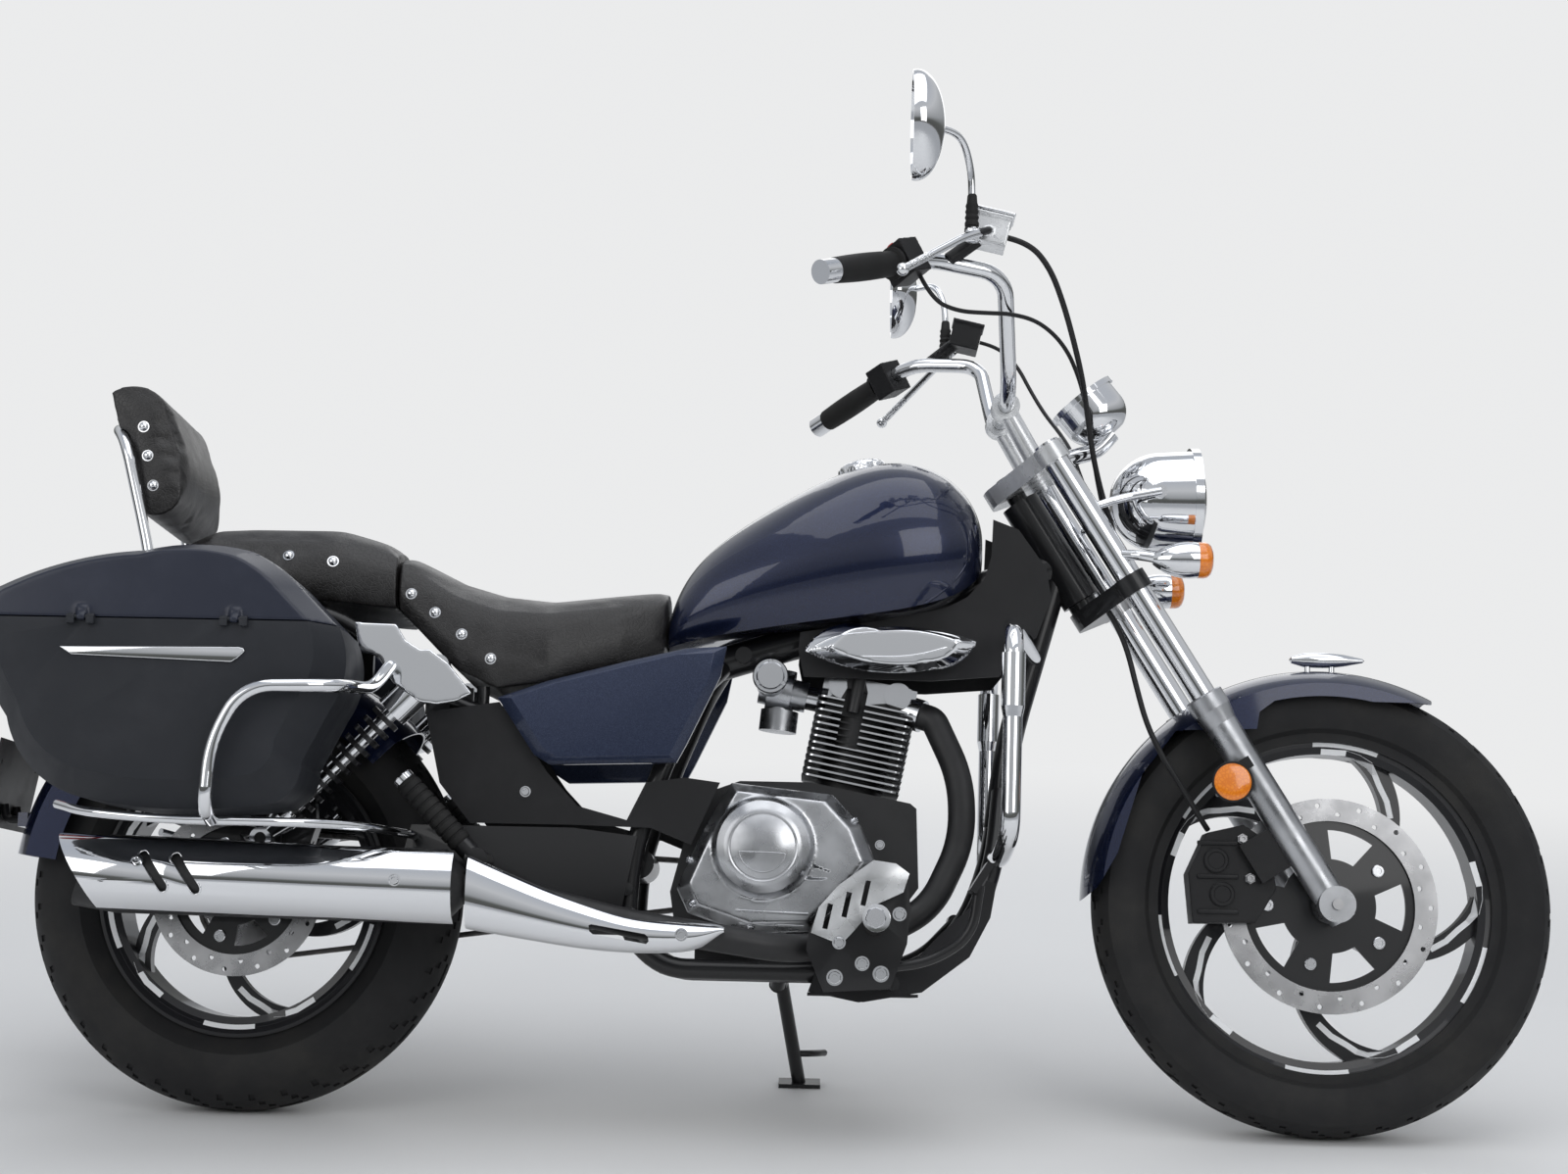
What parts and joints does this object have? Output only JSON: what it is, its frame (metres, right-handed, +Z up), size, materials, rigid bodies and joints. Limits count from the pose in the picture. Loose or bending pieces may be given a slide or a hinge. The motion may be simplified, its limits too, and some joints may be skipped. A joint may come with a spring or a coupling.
{
  "type": "cruiser motorcycle",
  "caption": "Cruiser motorcycle leaning on its side stand, with cast wheels, a tank, a stepped seat with backrest, hard side cases and chrome guards.",
  "frame": {"origin": "middle of the overall bounding box, on the floor", "axes": "+X forward along the wheels, +Y to the rider's left, +Z up; the motorcycle leans 12 degrees to +Y on its side stand"},
  "size_m": [2.1977, 1.0241, 1.4454],
  "materials": {
    "paint_navy": "glossy metallic",
    "case_blue": "semi-gloss",
    "cover_blue": "satin metallic",
    "frame_black": "gloss",
    "panel_black": "matte",
    "case_charcoal": "matte, fine grain",
    "control_black": "satin",
    "chrome": "polished",
    "cast_alloy": "satin, cast",
    "polished_alloy": "polished",
    "wheel_black": "gloss",
    "steel": "brushed",
    "tyre": "matte rubber",
    "rubber": "matte",
    "leather": "grained",
    "glass": "clear",
    "amber": "clear amber",
    "lamp_red": "clear red",
    "dark_steel": "heat-darkened"
  },
  "bodies": {
    "chassis": {"main_frame": "frame_black", "swinging_arm": "frame_black", "rear_shocks": "chrome", "drive_chain": "steel", "rear_caliper": "frame_black", "rear_axle": "steel", "crankcase": "frame_black", "engine_covers": "cast_alloy", "cylinder": "frame_black", "cylinder_head": "frame_black", "carburettor": "cast_alloy", "exhaust_pipe": "dark_steel", "silencer": "dark_steel", "exhaust_shields": "chrome", "footrests": "frame_black", "foot_levers": "frame_black", "engine_guard": "chrome", "fuel_tank": "paint_navy", "chrome_trim": "chrome", "black_panels": "panel_black", "side_covers": "cover_blue", "rear_fender": "paint_navy", "rear_lamps": "lamp_red", "plate_bracket": "control_black", "passenger_seat": "leather", "rider_seat": "leather", "backrest": "leather", "rear_bars": "chrome", "cases": "case_charcoal"},
    "steering": {"lower_yoke": "frame_black", "top_yoke": "polished_alloy", "fork_tubes": "chrome", "fork_sliders": "cast_alloy", "front_caliper": "frame_black", "handlebar": "chrome", "grips": "rubber", "bar_controls": "control_black", "mirrors": "chrome", "headlamp": "chrome", "headlamp_lens": "glass", "instrument": "chrome", "front_indicators": "chrome", "fork_reflectors": "amber", "front_fender": "paint_navy", "fender_ornament": "chrome", "front_axle": "steel", "brake_hose": "rubber", "clutch_cable": "rubber", "throttle_cable": "rubber", "lower_brake_hose": "rubber"},
    "front_wheel": {"front_tyre": "tyre", "front_cast_wheel": "wheel_black", "front_brake_disc": "steel"},
    "rear_wheel": {"rear_tyre": "tyre", "rear_cast_wheel": "wheel_black", "rear_brake_disc": "steel", "rear_sprocket": "steel"},
    "side_stand": {"side_stand": "frame_black"},
    "right_lid": {"right_lid": "case_blue"},
    "left_lid": {"left_lid": "case_blue"}
  },
  "joints": [
    {"name": "steering", "type": "hinge", "parent": "chassis", "child": "steering", "pos_m": [0.40346, -0.02648, 0.80382], "axis": [-0.5255, 0.1769, 0.8322], "range_deg": [-38, 38]},
    {"name": "front_wheel_spin", "type": "hinge", "parent": "steering", "child": "front_wheel", "pos_m": [0.78037, -0.13081, 0.31298], "axis": [0, 0.9781, -0.2079], "continuous": true},
    {"name": "rear_wheel_spin", "type": "hinge", "parent": "chassis", "child": "rear_wheel", "pos_m": [-0.73463, -0.1331, 0.30222], "axis": [0, 0.9781, -0.2079], "continuous": true},
    {"name": "side_stand_fold", "type": "hinge", "parent": "chassis", "child": "side_stand", "pos_m": [0.02537, -0.01139, 0.17259], "axis": [0.164, 0.9389, 0.3025], "range_deg": [0, 102.1]},
    {"name": "right_lid_open", "type": "hinge", "parent": "chassis", "child": "right_lid", "pos_m": [-0.73463, -0.44004, 0.70995], "axis": [1, 0, 0], "range_deg": [0, 75]},
    {"name": "left_lid_open", "type": "hinge", "parent": "chassis", "child": "left_lid", "pos_m": [-0.73463, 0.31314, 0.54986], "axis": [-1, 0, 0], "range_deg": [0, 75]}
  ]
}
